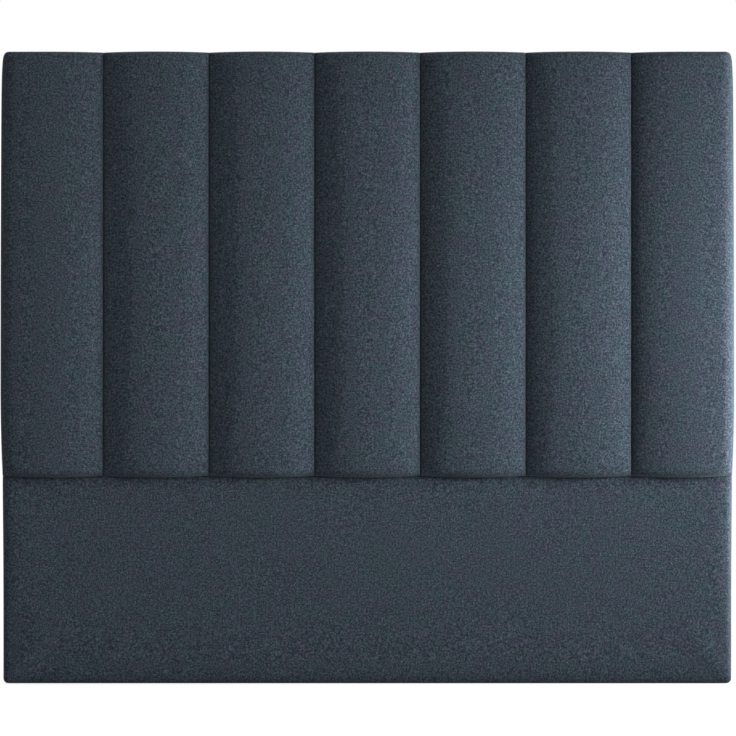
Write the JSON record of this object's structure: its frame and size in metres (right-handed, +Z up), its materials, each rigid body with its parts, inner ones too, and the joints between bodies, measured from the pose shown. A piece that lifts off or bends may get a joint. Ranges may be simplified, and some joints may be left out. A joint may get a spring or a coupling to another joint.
{
  "type": "channelled upholstered headboard",
  "caption": "Floor-standing upholstered headboard: upright sewn channels over a plain lower panel, padded on a jointed softwood frame.",
  "frame": {"origin": "middle of the overall box, on the floor", "axes": "+X across the board to the right as seen from the front, +Y to the back, +Z up"},
  "size_m": [1.51, 0.0906, 1.3],
  "materials": {
    "cover_cloth": "matte",
    "foam": "matte",
    "wadding": "matte",
    "softwood": "matte",
    "hardboard": "matte",
    "beech": "matte",
    "insert_steel": "satin",
    "back_cloth": "matte"
  },
  "bodies": {
    "root": {"channel_cover_1": "cover_cloth", "channel_cover_2": "cover_cloth", "channel_cover_3": "cover_cloth", "channel_cover_4": "cover_cloth", "channel_cover_5": "cover_cloth", "channel_cover_6": "cover_cloth", "channel_cover_7": "cover_cloth", "lower_cover": "cover_cloth", "channel_foam_1": "foam", "channel_foam_2": "foam", "channel_foam_3": "foam", "channel_foam_4": "foam", "channel_foam_5": "foam", "channel_foam_6": "foam", "channel_foam_7": "foam", "lower_foam": "foam", "upper_side_wadding_left": "wadding", "upper_side_wadding_right": "wadding", "lower_side_wadding_left": "wadding", "lower_side_wadding_right": "wadding", "top_wadding": "wadding", "left_stile": "softwood", "right_stile": "softwood", "bottom_rail": "softwood", "middle_rail": "softwood", "top_rail": "softwood", "upper_stud_left": "softwood", "upper_stud_right": "softwood", "lower_stud_left": "softwood", "lower_stud_right": "softwood", "corner_blocks": "softwood", "lower_board": "hardboard", "upper_board": "hardboard", "frame_dowels": "beech", "fixing_inserts": "insert_steel", "back_cloth": "back_cloth"}
  },
  "joints": []
}
